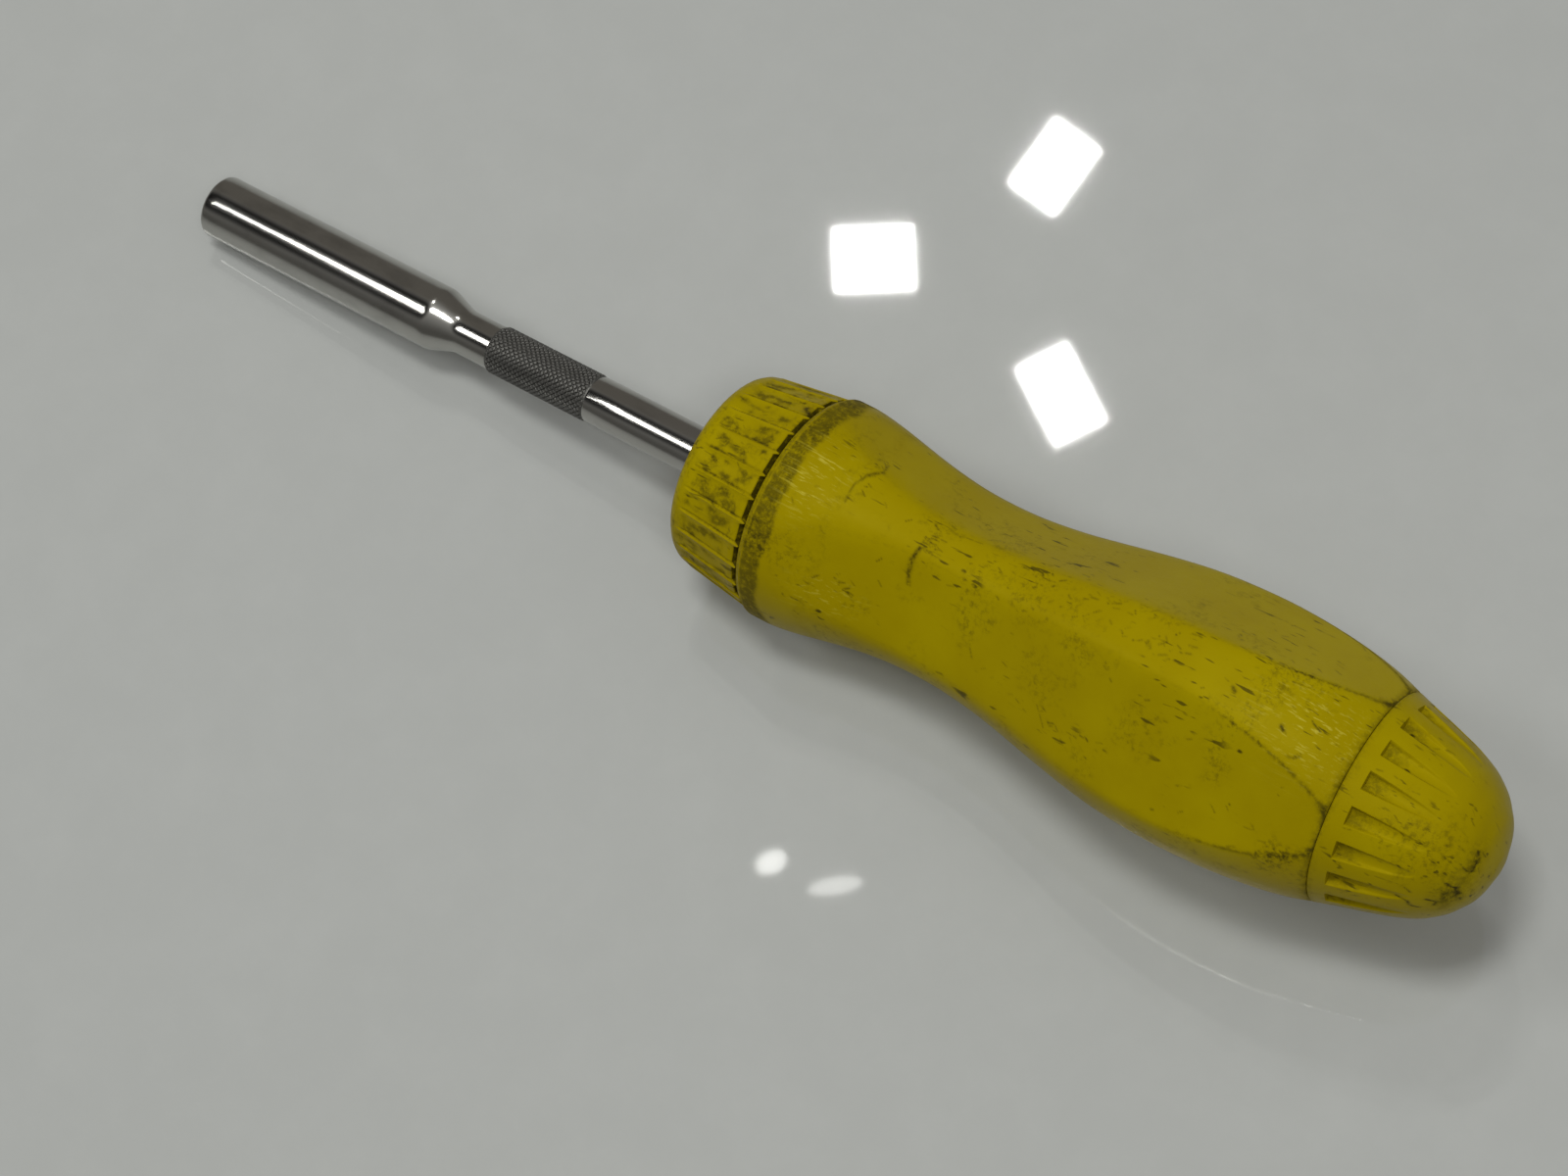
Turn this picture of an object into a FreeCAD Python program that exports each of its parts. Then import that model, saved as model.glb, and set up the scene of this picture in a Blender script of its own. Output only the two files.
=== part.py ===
import FreeCAD
import Part
import Sketcher
import math
import os
from FreeCAD import Vector, Rotation, Placement

# Ratcheting bit screwdriver, millimetres.
# Every piece is drawn in tool coordinates: the axis of the tool is X, x = 0 at the open end of the
# bit socket and x rises towards the screw-off end cap.  One placement at the end of each piece moves
# it to the row frame: +X along the tool, +Z up, origin under the middle of the tool.

doc = FreeCAD.newDocument("ratcheting_screwdriver")
sheet = doc.addObject("Spreadsheet::Sheet", "Sizes")
SIZES = {}


def size(alias, value, note):
    row = str(len(SIZES) + 1)
    sheet.set("A" + row, alias)
    sheet.set("B" + row, str(value))
    sheet.set("C" + row, note)
    sheet.setAlias("B" + row, alias)
    SIZES[alias] = value


# whole tool
size("tool_length", 222.0, "overall length")
size("axis_height", 18.9, "height of the axis when a handle lobe rests on the ground")
# shank: bit barrel, taper, knurl, journal
size("barrel_radius", 5.0, "outside of the bit barrel")
size("barrel_end", 43.5, "where the barrel starts to taper")
size("taper_end", 49.5, "where the taper meets the neck")
size("neck_radius", 3.45, "neck between taper and knurl")
size("knurl_start", 54.9, "front of the knurled band")
size("knurl_end", 73.2, "rear of the knurled band")
size("knurl_radius", 3.75, "outside of the knurled band")
size("journal_radius", 3.65, "rear shank, runs in the housing")
size("shank_end", 138.0, "rear end of the shank")
size("clip_front", 134.3, "front of the retaining clip groove")
size("clip_rear", 135.2, "rear of the retaining clip groove")
size("clip_groove_radius", 3.0, "bottom of the clip groove")
size("socket_flats", 6.4, "across flats of the hex socket")
size("socket_depth", 10.0, "depth of the hex socket")
size("magnet_radius", 3.1, "magnet disc")
size("magnet_end", 13.0, "rear face of the magnet")
# selector collar
size("collar_front", 96.8, "front face of the collar")
size("collar_nose", 99.6, "end of the rounded front corner and of the front wall")
size("collar_rear", 110.5, "rear edge of the collar")
size("collar_flat_radius", 12.2, "flat part of the front face")
size("collar_nose_radius", 15.1, "collar just behind the rounded corner")
size("collar_rear_radius", 16.6, "collar at its rear edge")
size("collar_hole_radius", 4.2, "hole for the shank")
size("collar_bore", 12.8, "inside of the collar")
size("collar_flutes", 28, "grip flutes round the collar")
# ratchet cage
size("cover_front", 100.5, "front of the cover plate")
size("cage_front", 102.0, "front of the ratchet cage")
size("cage_floor", 107.6, "floor of the pawl pocket")
size("cage_radius", 11.6, "outside of the cage")
size("cover_radius", 12.5, "cover plate")
size("cam_front", 102.1, "front of the cam ring")
size("cam_rear", 110.3, "rear of the cam ring")
size("cam_bore", 11.65, "cam ring running fit on the cage")
size("spindle_bore", 3.7, "journal bore in the cage")
size("cage_stem_radius", 10.5, "stem pressed in the handle")
size("cage_rear", 134.0, "rear end of the stem")
size("gear_pocket_radius", 7.2, "clear circle round the gear")
size("pawl_pocket_radius", 10.6, "pocket for the two pawls")
size("gear_front", 102.3, "front of the ratchet gear")
size("gear_rear", 107.0, "rear of the ratchet gear")
size("gear_teeth", 24, "teeth on the ratchet gear")
size("gear_tip_radius", 6.8, "gear tooth tips")
size("gear_root_radius", 5.9, "gear tooth roots")
size("pivot_radius", 8.85, "pawl pivots from the tool axis")
size("pivot_angle", 30.0, "first pawl pivot, degrees from +Y")
size("pin_radius", 1.0, "pawl pin")
size("pin_hole_radius", 1.05, "hole in the pawl")
size("pawl_front", 102.3, "front of a pawl")
size("pawl_rear", 106.7, "rear of a pawl")
size("detent_x", 109.4, "detent ball hole")
# handle
size("handle_front", 111.2, "front face of the handle")
size("handle_rear", 201.8, "rear face of the handle, against the cap")
size("tail_bore_radius", 6.5, "clearance round the rear end of the shank")
size("tail_bore_end", 140.0, "end of the front bore")
size("store_floor", 177.0, "floor of the bit store")
size("store_radius", 11.0, "bit store bore")
size("store_shoulder", 191.0, "where the store opens to the thread bore")
size("thread_bore", 12.28, "minor radius of the cap thread in the handle")
size("seal_seat_front", 198.9, "front of the seal seat")
size("seal_seat_radius", 13.7, "seal seat")
size("facet_reach", 26.0, "half width of the facet cutters")
size("facets", 4, "facets round the handle")
# end cap
size("cap_front", 201.9, "shoulder of the cap")
size("spigot_front", 195.2, "front end of the spigot")
size("spigot_radius", 12.2, "outside of the spigot")
size("cap_bore", 10.8, "hollow of the cap")
size("cap_bore_end", 207.0, "end of the straight hollow")
size("cap_hollow_end", 212.0, "end of the tapered hollow")
size("cap_hollow_radius", 8.0, "hollow at its rear end")
size("thread_pitch", 3.0, "cap thread lead")
size("cap_flutes", 18, "finger flutes round the cap")
size("cap_flute_start", 204.3, "square front end of a flute")
size("cap_flute_end", 214.4, "where a flute runs out")
size("cap_flute_floor", 13.55, "flute floor at its front end")
size("cap_flute_tail", 11.7, "flute floor at its rear end")
size("cap_flute_width", 2.3, "width of a flute")
# bit store
size("carrier_radius", 11.0, "bit carrier")
size("carrier_rear", 190.0, "rear face of the carrier")
size("bit_start", 178.5, "inner end of each stored bit")
size("bit_circle", 6.6, "stored bits from the axis")
size("bit_flats", 6.35, "quarter inch hex of a bit")
size("bit_pocket_flats", 6.45, "hex pocket of the carrier")
size("bit_length", 25.0, "length of a bit")
size("bit_hex_length", 16.0, "hex part of a bit")
doc.recompute()

S = SIZES
ROW = Placement(Vector(-S["tool_length"] / 2.0, 0, S["axis_height"]), Rotation())
ALONG = Rotation(Vector(0, 1, 0), 90)      # turns a primitive's +Z to the tool's +X
MADE = []


def polar(radius, degrees):
    a = math.radians(degrees)
    return (radius * math.cos(a), radius * math.sin(a))


def number(term):
    if isinstance(term, str):
        return S[term]
    return float(term)


def plane_of(body, role):
    for feature in body.Origin.OriginFeatures:
        if feature.Role == role:
            return feature
    raise RuntimeError("no plane " + role)


def new_sketch(body, name, role):
    sketch = body.newObject("Sketcher::SketchObject", name)
    sketch.AttachmentSupport = [(plane_of(body, role), "")]
    sketch.MapMode = "FlatFace"
    return sketch


def pin_point(sketch, geo, pos, x, y):
    """Fix one sketch point from the origin; terms that are size names stay bound to the sheet."""
    for kind, term, axis in (("DistanceX", x, -2), ("DistanceY", y, -1)):
        if number(term) == 0.0:
            sketch.addConstraint(Sketcher.Constraint("PointOnObject", geo, pos, axis))
            continue
        index = sketch.addConstraint(Sketcher.Constraint(kind, -1, 1, geo, pos, number(term)))
        if isinstance(term, str):
            sketch.setExpression("Constraints[%d]" % index, "Sizes." + term)


def draw(sketch, points, curve=None):
    """Closed outline through the points.  curve = (start index, inner points) makes the edge that
    leaves that vertex a smooth curve through the inner points instead of a straight line."""
    count = len(points)
    xy = [Vector(number(x), number(y), 0) for x, y in points]
    for i in range(count):
        a = xy[i]
        b = xy[(i + 1) % count]
        if curve is not None and curve[0] == i:
            spline = Part.BSplineCurve()
            spline.interpolate([a] + [Vector(x, y, 0) for x, y in curve[1]] + [b])
            geo = sketch.addGeometry(spline, False)
            sketch.addConstraint(Sketcher.Constraint("Block", geo))
        else:
            sketch.addGeometry(Part.LineSegment(a, b), False)
    for i in range(count):
        sketch.addConstraint(Sketcher.Constraint("Coincident", i, 2, (i + 1) % count, 1))
    for i in range(count):
        if curve is not None and i in (curve[0], (curve[0] + 1) % count):
            continue
        pin_point(sketch, i, 1, points[i][0], points[i][1])


def turned_body(name, points, curve=None):
    """Body turned about the tool axis from an outline of (x, radius) points."""
    body = doc.addObject("PartDesign::Body", name)
    sketch = new_sketch(body, name + "_outline", "XY_Plane")
    draw(sketch, points, curve)
    turn = body.newObject("PartDesign::Revolution", name + "_turn")
    turn.Profile = sketch
    turn.ReferenceAxis = (sketch, ["H_Axis"])
    turn.Angle = 360
    sketch.Visibility = False
    doc.recompute()
    return body


def slots(body, name, points, width, count):
    """Cut a lengthwise slot of the given side outline and width, repeated round the axis."""
    before = body.Shape.Volume
    sketch = new_sketch(body, name + "_side", "XY_Plane")
    draw(sketch, points)
    pocket = body.newObject("PartDesign::Pocket", name + "_cut")
    pocket.Profile = sketch
    pocket.Type = 0
    pocket.SideType = "Symmetric"
    pocket.Length = number(width)
    if isinstance(width, str):
        pocket.setExpression("Length", "Sizes." + width)
    sketch.Visibility = False
    doc.recompute()
    if not body.Shape.Volume < before:
        raise RuntimeError(name + " cut nothing")
    pattern = body.newObject("PartDesign::PolarPattern", name + "_ring")
    pattern.Originals = [pocket]
    pattern.Axis = (sketch, ["H_Axis"])
    pattern.Angle = 360
    pattern.Occurrences = int(number(count))
    if isinstance(count, str):
        pattern.setExpression("Occurrences", "Sizes." + count)
    body.Tip = pattern
    doc.recompute()


def cylinder(name, radius, front, rear, y=0.0, z=0.0, sweep=360.0, start=0.0):
    """Round bar along X between two stations; sweep and start (degrees from +Y) make a sector."""
    bar = doc.addObject("Part::Cylinder", name)
    bar.Radius = number(radius)
    bar.Height = number(rear) - number(front)
    if isinstance(radius, str):
        bar.setExpression("Radius", "Sizes." + radius)
    if isinstance(front, str) and isinstance(rear, str):
        bar.setExpression("Height", "Sizes.%s - Sizes.%s" % (rear, front))
    bar.Angle = sweep
    # after the tilt a primitive's own +X points to -Z, so an angle from +Y is start + 90
    turn = Rotation(Vector(1, 0, 0), start + 90.0).multiply(ALONG)
    bar.Placement = Placement(Vector(number(front), y, z), turn)
    return bar


def tube(name, outer, inner, front, rear, y=0.0, z=0.0):
    return cut(name, cylinder(name + "_out", outer, front, rear, y, z),
               [cylinder(name + "_in", inner, number(front) - 1, number(rear) + 1, y, z)])


def prism(name, sides, flats, front, rear, y=0.0, z=0.0, turn=0.0):
    """Bar along X with a regular outline given by its width across flats."""
    bar = doc.addObject("Part::Prism", name)
    bar.Polygon = sides
    bar.Circumradius = number(flats) / 2.0 / math.cos(math.pi / sides)
    if isinstance(flats, str):
        bar.setExpression("Circumradius", "Sizes.%s / 2 / cos(180deg / %d)" % (flats, sides))
    bar.Height = number(rear) - number(front)
    rotation = Rotation(Vector(1, 0, 0), turn).multiply(ALONG)
    bar.Placement = Placement(Vector(number(front), y, z), rotation)
    return bar


def cut(name, base, tools):
    result = base
    for i, tool in enumerate(tools):
        step = doc.addObject("Part::Cut", name + "_less%d" % i)
        step.Base = result
        step.Tool = tool
        result = step
    doc.recompute()
    return result


def fuse(name, pieces):
    whole = doc.addObject("Part::MultiFuse", name + "_fused")
    whole.Shapes = pieces
    doc.recompute()
    return whole


def feature(name, shape):
    piece = doc.addObject("Part::Feature", name)
    piece.Shape = shape
    return piece


def finish(piece, label):
    piece.Label = label
    piece.Placement = ROW.multiply(piece.Placement)
    MADE.append(piece)


# ---------------------------------------------------------------- shank, one turned piece
shank_body = turned_body("shank_blank", [
    (0.0, 0.0), (0.0, 4.6), (0.4, "barrel_radius"), ("barrel_end", "barrel_radius"), (44.6, 4.9),
    (48.4, 3.58), ("taper_end", "neck_radius"), (54.3, "neck_radius"), ("knurl_start", "knurl_radius"),
    ("knurl_end", "knurl_radius"), (73.7, "journal_radius"), ("clip_front", "journal_radius"),
    ("clip_front", "clip_groove_radius"), ("clip_rear", "clip_groove_radius"),
    ("clip_rear", "journal_radius"), (137.4, "journal_radius"), ("shank_end", 3.1), ("shank_end", 0.0)])
shank = cut("shank", shank_body, [
    prism("socket_hex", 6, "socket_flats", -1.0, "socket_depth"),
    cylinder("magnet_seat", "magnet_radius", "socket_depth", "magnet_end")])
finish(shank, "shank")

finish(cylinder("magnet", "magnet_radius", "socket_depth", "magnet_end"), "socket_magnet")

# ---------------------------------------------------------------- ratchet gear, pressed on the shank
TEETH = int(S["gear_teeth"])
PITCH = 360.0 / TEETH
gear_body = doc.addObject("PartDesign::Body", "gear_blank")
gear_sketch = new_sketch(gear_body, "gear_disc", "XY_Plane")
draw(gear_sketch, [("gear_front", "journal_radius"), ("gear_front", "gear_tip_radius"),
                   ("gear_rear", "gear_tip_radius"), ("gear_rear", "journal_radius")])
gear_turn = gear_body.newObject("PartDesign::Revolution", "gear_turn")
gear_turn.Profile = gear_sketch
gear_turn.ReferenceAxis = (gear_sketch, ["H_Axis"])
gear_turn.Angle = 360
doc.recompute()
# each gap is a straight-sided notch centred on a multiple of the tooth pitch
notches = []
for tooth in range(TEETH):
    middle = tooth * PITCH
    corners = [polar(S["gear_root_radius"], middle - 2.9), polar(7.1, middle - 6.4),
               polar(7.1, middle + 6.4), polar(S["gear_root_radius"], middle + 2.9)]
    ring = [Vector(S["gear_front"] - 1, y, z) for y, z in corners]
    face = Part.Face(Part.makePolygon(ring + [ring[0]]))
    notches.append(face.extrude(Vector(S["gear_rear"] - S["gear_front"] + 2, 0, 0)))
notch_set = feature("gear_notches", Part.makeCompound(notches))
finish(cut("gear", gear_body, [notch_set]), "ratchet_gear")

finish(tube("rear_clip_ring", 5.2, "clip_groove_radius", "clip_front", "clip_rear"), "rear_retaining_clip")

# ---------------------------------------------------------------- selector collar with shallow flutes
collar_body = turned_body("collar_blank", [
    ("collar_front", "collar_hole_radius"), ("collar_front", "collar_flat_radius"),
    ("collar_nose", "collar_nose_radius"), ("collar_rear", "collar_rear_radius"),
    ("collar_rear", "collar_bore"), ("collar_nose", "collar_bore"), ("collar_nose", "collar_hole_radius")],
    (1, [(97.0, 13.15), (97.55, 14.1), (98.4, 14.75)]))
# the flutes follow the cone of the collar; each one is a round bar sunk 0.45 mm in the surface
FLUTE_BAR = 2.1
lean = math.atan2(S["collar_rear_radius"] - S["collar_nose_radius"], S["collar_rear"] - S["collar_nose"])
flute_bars = []
for flute in range(int(S["collar_flutes"])):
    bar = Part.makeCylinder(FLUTE_BAR, 13.0, Vector(0, 0, 0), Vector(math.cos(lean), 0, math.sin(lean)))
    bar.translate(Vector(98.9, 0, S["collar_nose_radius"] - 0.12 - 0.33 + FLUTE_BAR))
    bar.rotate(Vector(0, 0, 0), Vector(1, 0, 0), flute * 360.0 / S["collar_flutes"])
    flute_bars.append(bar)
finish(cut("collar", collar_body, [feature("collar_flute_bars", Part.makeCompound(flute_bars))]),
       "selector_collar")

# cam ring pressed in the collar; its lug reaches over the backs of the pawls
LUG_HALF_ANGLE = 5.0
cam_tube = tube("cam_tube", "collar_bore", "cam_bore", "cam_front", "cam_rear")
lug_out = cylinder("lug_out", 11.9, 102.3, 107.3, 0, 0, 2 * LUG_HALF_ANGLE, 90 - LUG_HALF_ANGLE)
lug = cut("lug", lug_out, [cylinder("lug_in", 9.15, 101.0, 108.5)])
finish(fuse("cam", [cam_tube, lug]), "cam_ring")

# ---------------------------------------------------------------- ratchet cage, pressed in the handle
cage_body = turned_body("cage_blank", [
    ("cage_front", "spindle_bore"), ("cage_front", "cage_radius"), ("handle_front", "cage_radius"),
    ("handle_front", "cage_stem_radius"), ("cage_rear", "cage_stem_radius"), ("cage_rear", "spindle_bore")])
PIVOT = polar(S["pivot_radius"], S["pivot_angle"])
PIVOTS = [PIVOT, (-PIVOT[0], PIVOT[1])]
SCREW_CIRCLE = 9.3
SCREW_RADIUS = 0.8
SCREW_END = 107.0
SCREWS = [polar(SCREW_CIRCLE, degrees) for degrees in (215.0, 270.0, 325.0)]
PIN_START = 100.6
PIN_END = 109.6
cage_cuts = [cylinder("gear_room", "gear_pocket_radius", 101.0, "cage_floor"),
             cylinder("pawl_room", "pawl_pocket_radius", 101.0, "cage_floor", 0, 0, 164.0, 8.0),
             cylinder("lug_window", 12.5, 101.0, "cage_floor", 0, 0, 56.0, 62.0)]
for i, spot in enumerate(PIVOTS):
    cage_cuts.append(cylinder("pin_seat%d" % i, "pin_radius", 107.0, PIN_END, spot[0], spot[1]))
for i, spot in enumerate(SCREWS):
    cage_cuts.append(cylinder("screw_seat%d" % i, SCREW_RADIUS, 101.0, SCREW_END, spot[0], spot[1]))
detent_hole = doc.addObject("Part::Cylinder", "detent_hole")
detent_hole.Radius = 1.05
detent_hole.Height = 6.0
detent_hole.Placement = Placement(Vector(S["detent_x"], 0, -6.0), Rotation(Vector(0, 1, 0), 180))
cage_cuts.append(detent_hole)
finish(cut("cage", cage_body, cage_cuts), "ratchet_housing")

cover_cuts = [cylinder("cover_bore", 3.9, 99.0, 103.0)]
for i, spot in enumerate(PIVOTS):
    cover_cuts.append(cylinder("cover_pin_hole%d" % i, "pin_radius", 100.0, 103.0, spot[0], spot[1]))
for i, spot in enumerate(SCREWS):
    hole = cylinder("cover_screw_hole%d" % i, SCREW_RADIUS, 100.0, 103.0, spot[0], spot[1])
    cover_cuts.append(hole)
cover = cut("cover", cylinder("cover_disc", "cover_radius", "cover_front", "cage_front"), cover_cuts)
finish(cover, "cover_plate")

screw_shapes = []
for y, z in SCREWS:
    under_head = Vector(S["cover_front"], y, z)
    head_height = 0.7
    stem = Part.makeCylinder(SCREW_RADIUS, SCREW_END - S["cover_front"], under_head, Vector(1, 0, 0))
    head = Part.makeCylinder(1.5, head_height, under_head - Vector(head_height, 0, 0), Vector(1, 0, 0))
    slot = Part.makeBox(0.4, 4.0, 0.4, under_head - Vector(head_height + 0.1, 2.0, 0.2))
    screw_shapes.append(stem.fuse(head).removeSplitter().cut(slot))
finish(feature("screws", Part.makeCompound(screw_shapes)), "cover_screws")

pin_shapes = []
for y, z in PIVOTS:
    start = Vector(PIN_START, y, z)
    pin_shapes.append(Part.makeCylinder(S["pin_radius"], PIN_END - PIN_START, start, Vector(1, 0, 0)))
finish(feature("pins", Part.makeCompound(pin_shapes)), "pawl_pins")

spring_shapes = []
for y, z in PIVOTS:
    wire_radius = 0.28
    spring_shapes.append(Part.makeTorus(1.35, wire_radius, Vector(107.15, y, z), Vector(1, 0, 0)))
finish(feature("springs", Part.makeCompound(spring_shapes)), "pawl_springs")

finish(tube("washer_ring", 6.2, 3.78, 107.05, 107.58), "thrust_washer")

ball = doc.addObject("Part::Sphere", "ball")
ball.Radius = 1.0
ball.Placement = Placement(Vector(S["detent_x"], 0, -10.5), Rotation())
finish(ball, "detent_ball")
# small coil that presses the ball outwards against the cam ring
coil_path = Part.makeHelix(0.7, 2.8, 0.7)
coil_ring = Part.Wire(Part.Circle(Vector(0.7, 0, 0), Vector(0, 1, 0), 0.17).toShape())
coil = Part.Wire(coil_path).makePipeShell([coil_ring], True, True)
coil.translate(Vector(S["detent_x"], 0, -9.25))
finish(feature("coil", coil), "detent_spring")

# ---------------------------------------------------------------- pawls
# the nose sits 1.8 degrees past the gap it drops in, because it swings back as it goes in
arm_end = polar(8.25, 59.0)
reach = Vector(arm_end[0] - PIVOT[0], arm_end[1] - PIVOT[1], 0)
reach.normalize()
side = (-reach.y, reach.x)
outer_side = (abs(side[0]), abs(side[1]))
NOSE_ANGLE = 61.8
NOSE_RADIUS = 6.62
pawl_corners = [
    (PIVOT[0] + 0.9 * outer_side[0], PIVOT[1] + 0.9 * outer_side[1]),
    (arm_end[0] + 0.7 * outer_side[0], arm_end[1] + 0.7 * outer_side[1]),
    polar(8.2, 66.5), polar(7.75, 66.2), polar(NOSE_RADIUS, NOSE_ANGLE + 1.2),
    polar(NOSE_RADIUS, NOSE_ANGLE - 1.2), polar(7.75, 57.4),
    (PIVOT[0] - 0.9 * outer_side[0], PIVOT[1] - 0.9 * outer_side[1])]
pawl_body = doc.addObject("PartDesign::Body", "pawl_blank")
pawl_sketch = new_sketch(pawl_body, "pawl_outline", "YZ_Plane")
draw(pawl_sketch, pawl_corners)
pawl_sketch.AttachmentOffset = Placement(Vector(0, 0, S["pawl_front"]), Rotation())
pawl_pad = pawl_body.newObject("PartDesign::Pad", "pawl_pad")
pawl_pad.Profile = pawl_sketch
pawl_pad.Length = S["pawl_rear"] - S["pawl_front"]
pawl_pad.setExpression("Length", "Sizes.pawl_rear - Sizes.pawl_front")
doc.recompute()
boss = cylinder("pawl_boss", 1.6, "pawl_front", "pawl_rear", PIVOT[0], PIVOT[1])
pawl = cut("pawl", fuse("pawl", [pawl_body, boss]),
           [cylinder("pawl_hole", "pin_hole_radius", 101.0, 108.0, PIVOT[0], PIVOT[1])])
other_pawl = doc.addObject("Part::Mirroring", "other_pawl")
other_pawl.Source = pawl
other_pawl.Normal = Vector(0, 1, 0)
other_pawl.Base = Vector(0, 0, 0)
doc.recompute()
mirrored = feature("mirrored_pawl", other_pawl.Shape.copy())
finish(mirrored, "pawl_left")
finish(pawl, "pawl_right")

# ---------------------------------------------------------------- handle
# turned grip: flange, waist, bulge; then four facets, flat across and following the grip lengthwise
grip_curve = [(114.5, 17.05), (118.0, 16.6), (122.0, 15.85), (126.0, 15.1), (130.0, 14.5), (134.0, 14.12),
              (138.0, 14.0), (142.0, 14.1), (146.0, 14.45), (150.0, 15.0), (155.0, 15.95), (160.0, 16.95),
              (165.0, 17.85), (170.0, 18.5), (175.0, 18.82), (180.0, 18.9), (185.0, 18.65), (190.0, 18.15),
              (195.0, 17.4), (199.0, 16.5)]
grip_body = turned_body("grip_blank", [
    ("handle_front", "cage_stem_radius"), ("handle_front", 17.1), ("handle_rear", 15.6),
    ("handle_rear", "seal_seat_radius"), ("seal_seat_front", "seal_seat_radius"),
    ("seal_seat_front", "thread_bore"), ("store_shoulder", "thread_bore"),
    ("store_shoulder", "store_radius"), ("store_floor", "store_radius"), ("store_floor", 0.0),
    ("tail_bore_end", 0.0), ("tail_bore_end", "tail_bore_radius"), ("cage_rear", "tail_bore_radius"),
    ("cage_rear", "cage_stem_radius")], (1, grip_curve))
facet_sketch = new_sketch(grip_body, "facet_side", "XY_Plane")
facet_curve = [(117.0, 16.35), (120.0, 15.2), (124.0, 14.0), (130.0, 12.6), (136.0, 11.9), (142.0, 11.9),
               (150.0, 12.7), (160.0, 14.35), (170.0, 15.65), (180.0, 16.08), (187.0, 16.15), (193.0, 16.1),
               (198.0, 15.85)]
draw(facet_sketch, [(114.6, 17.3), (202.6, 15.2), (202.6, 24.0), (114.6, 24.0)], (0, facet_curve))
facet_cut = grip_body.newObject("PartDesign::Pocket", "facet_cut")
facet_cut.Profile = facet_sketch
facet_cut.Type = 0
facet_cut.SideType = "Symmetric"
facet_cut.Length = 2 * S["facet_reach"]
facet_cut.setExpression("Length", "2 * Sizes.facet_reach")
doc.recompute()
facet_ring = grip_body.newObject("PartDesign::PolarPattern", "facet_ring")
facet_ring.Originals = [facet_cut]
facet_ring.Axis = (facet_sketch, ["H_Axis"])
facet_ring.Angle = 360
facet_ring.Occurrences = int(S["facets"])
facet_ring.setExpression("Occurrences", "Sizes.facets")
grip_body.Tip = facet_ring
doc.recompute()


def thread(start, turns, root, crest, root_half, crest_half, phase):
    """Right-hand helical ridge about the tool axis with a trapezoid outline."""
    path = Part.makeHelix(S["thread_pitch"], turns * S["thread_pitch"], root)
    corners = [Vector(root, 0, -root_half), Vector(crest, 0, -crest_half),
               Vector(crest, 0, crest_half), Vector(root, 0, root_half)]
    outline = Part.makePolygon(corners + [corners[0]])
    ridge = Part.Wire(path).makePipeShell([outline], True, True)
    ridge.Placement = Placement(Vector(start, 0, 0), Rotation(Vector(1, 0, 0), phase).multiply(ALONG))
    return ridge


GROOVE_START = 194.5
RIDGE_START = 196.2
GRIP_TURN = 45.0        # the grip is turned half a facet after its cuts, so two lobes stand upright
groove = thread(GROOVE_START, 1.75, 12.1, 13.0, 1.05, 0.55, 0.0)
grip = cut("grip", grip_body, [feature("grip_thread", groove)])
if grip_body.Shape.Volume - grip.Shape.Volume < 100.0:
    raise RuntimeError("the thread groove was not cut")
grip.Placement = Placement(Vector(0, 0, 0), Rotation(Vector(1, 0, 0), GRIP_TURN))
finish(grip, "grip_handle")

# ---------------------------------------------------------------- end cap
cap_body = turned_body("cap_blank", [
    ("spigot_front", "cap_bore"), ("spigot_front", "spigot_radius"), ("cap_front", "spigot_radius"),
    ("cap_front", 15.58), ("tool_length", 0.0), ("cap_hollow_end", 0.0),
    ("cap_hollow_end", "cap_hollow_radius"), ("cap_bore_end", "cap_bore")],
    (3, [(205.0, 14.66), (209.0, 13.5), (213.0, 12.15), (216.5, 10.35), (219.3, 7.7), (221.1, 4.6),
         (221.85, 1.9)]))
slots(cap_body, "cap_flute", [
    ("cap_flute_start", "cap_flute_floor"), ("cap_flute_end", "cap_flute_tail"),
    ("cap_flute_end", 20.0), ("cap_flute_start", 20.0)], "cap_flute_width", "cap_flutes")
# the ridge starts further back than the groove, so its phase is that much further round
ridge_phase = GRIP_TURN + 360.0 * (RIDGE_START - GROOVE_START) / S["thread_pitch"]
ridge = thread(RIDGE_START, 1.0, 12.0, 12.85, 0.8, 0.4, ridge_phase)
finish(fuse("cap", [cap_body, feature("cap_thread", ridge)]), "end_cap")

seal = doc.addObject("Part::Torus", "seal")
seal.Radius1 = 12.95
seal.Radius2 = 0.65
seal.Placement = Placement(Vector(200.95, 0, 0), ALONG)
finish(seal, "cap_o_ring")

# ---------------------------------------------------------------- bit carrier and the five stored bits
POCKETS = [polar(S["bit_circle"], 90.0 + 72.0 * i) for i in range(5)]
carrier_cuts = []
for i, spot in enumerate(POCKETS):
    carrier_cuts.append(prism("carrier_pocket%d" % i, 6, "bit_pocket_flats", "bit_start", 191.5,
                              spot[0], spot[1]))
carrier_cuts.append(cylinder("carrier_middle", 1.9, 180.0, 191.0))
finish(cut("carrier", cylinder("carrier_plug", "carrier_radius", "store_floor", "carrier_rear"),
           carrier_cuts), "bit_carrier")

TIP_START = S["bit_start"] + S["bit_hex_length"]
TIP_END = S["bit_start"] + S["bit_length"]


def bit_blank(name, spot, neck_radius, neck_end):
    return fuse(name + "_blank", [
        prism(name + "_hex", 6, "bit_flats", "bit_start", TIP_START, spot[0], spot[1]),
        cylinder(name + "_neck", neck_radius, TIP_START - 1.0, neck_end, spot[0], spot[1])])


def cone(name, spot, front, rear, front_radius, rear_radius):
    taper = doc.addObject("Part::Cone", name)
    taper.Radius1 = front_radius
    taper.Radius2 = rear_radius
    taper.Height = rear - front
    taper.Placement = Placement(Vector(front, spot[0], spot[1]), ALONG)
    return taper


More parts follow.
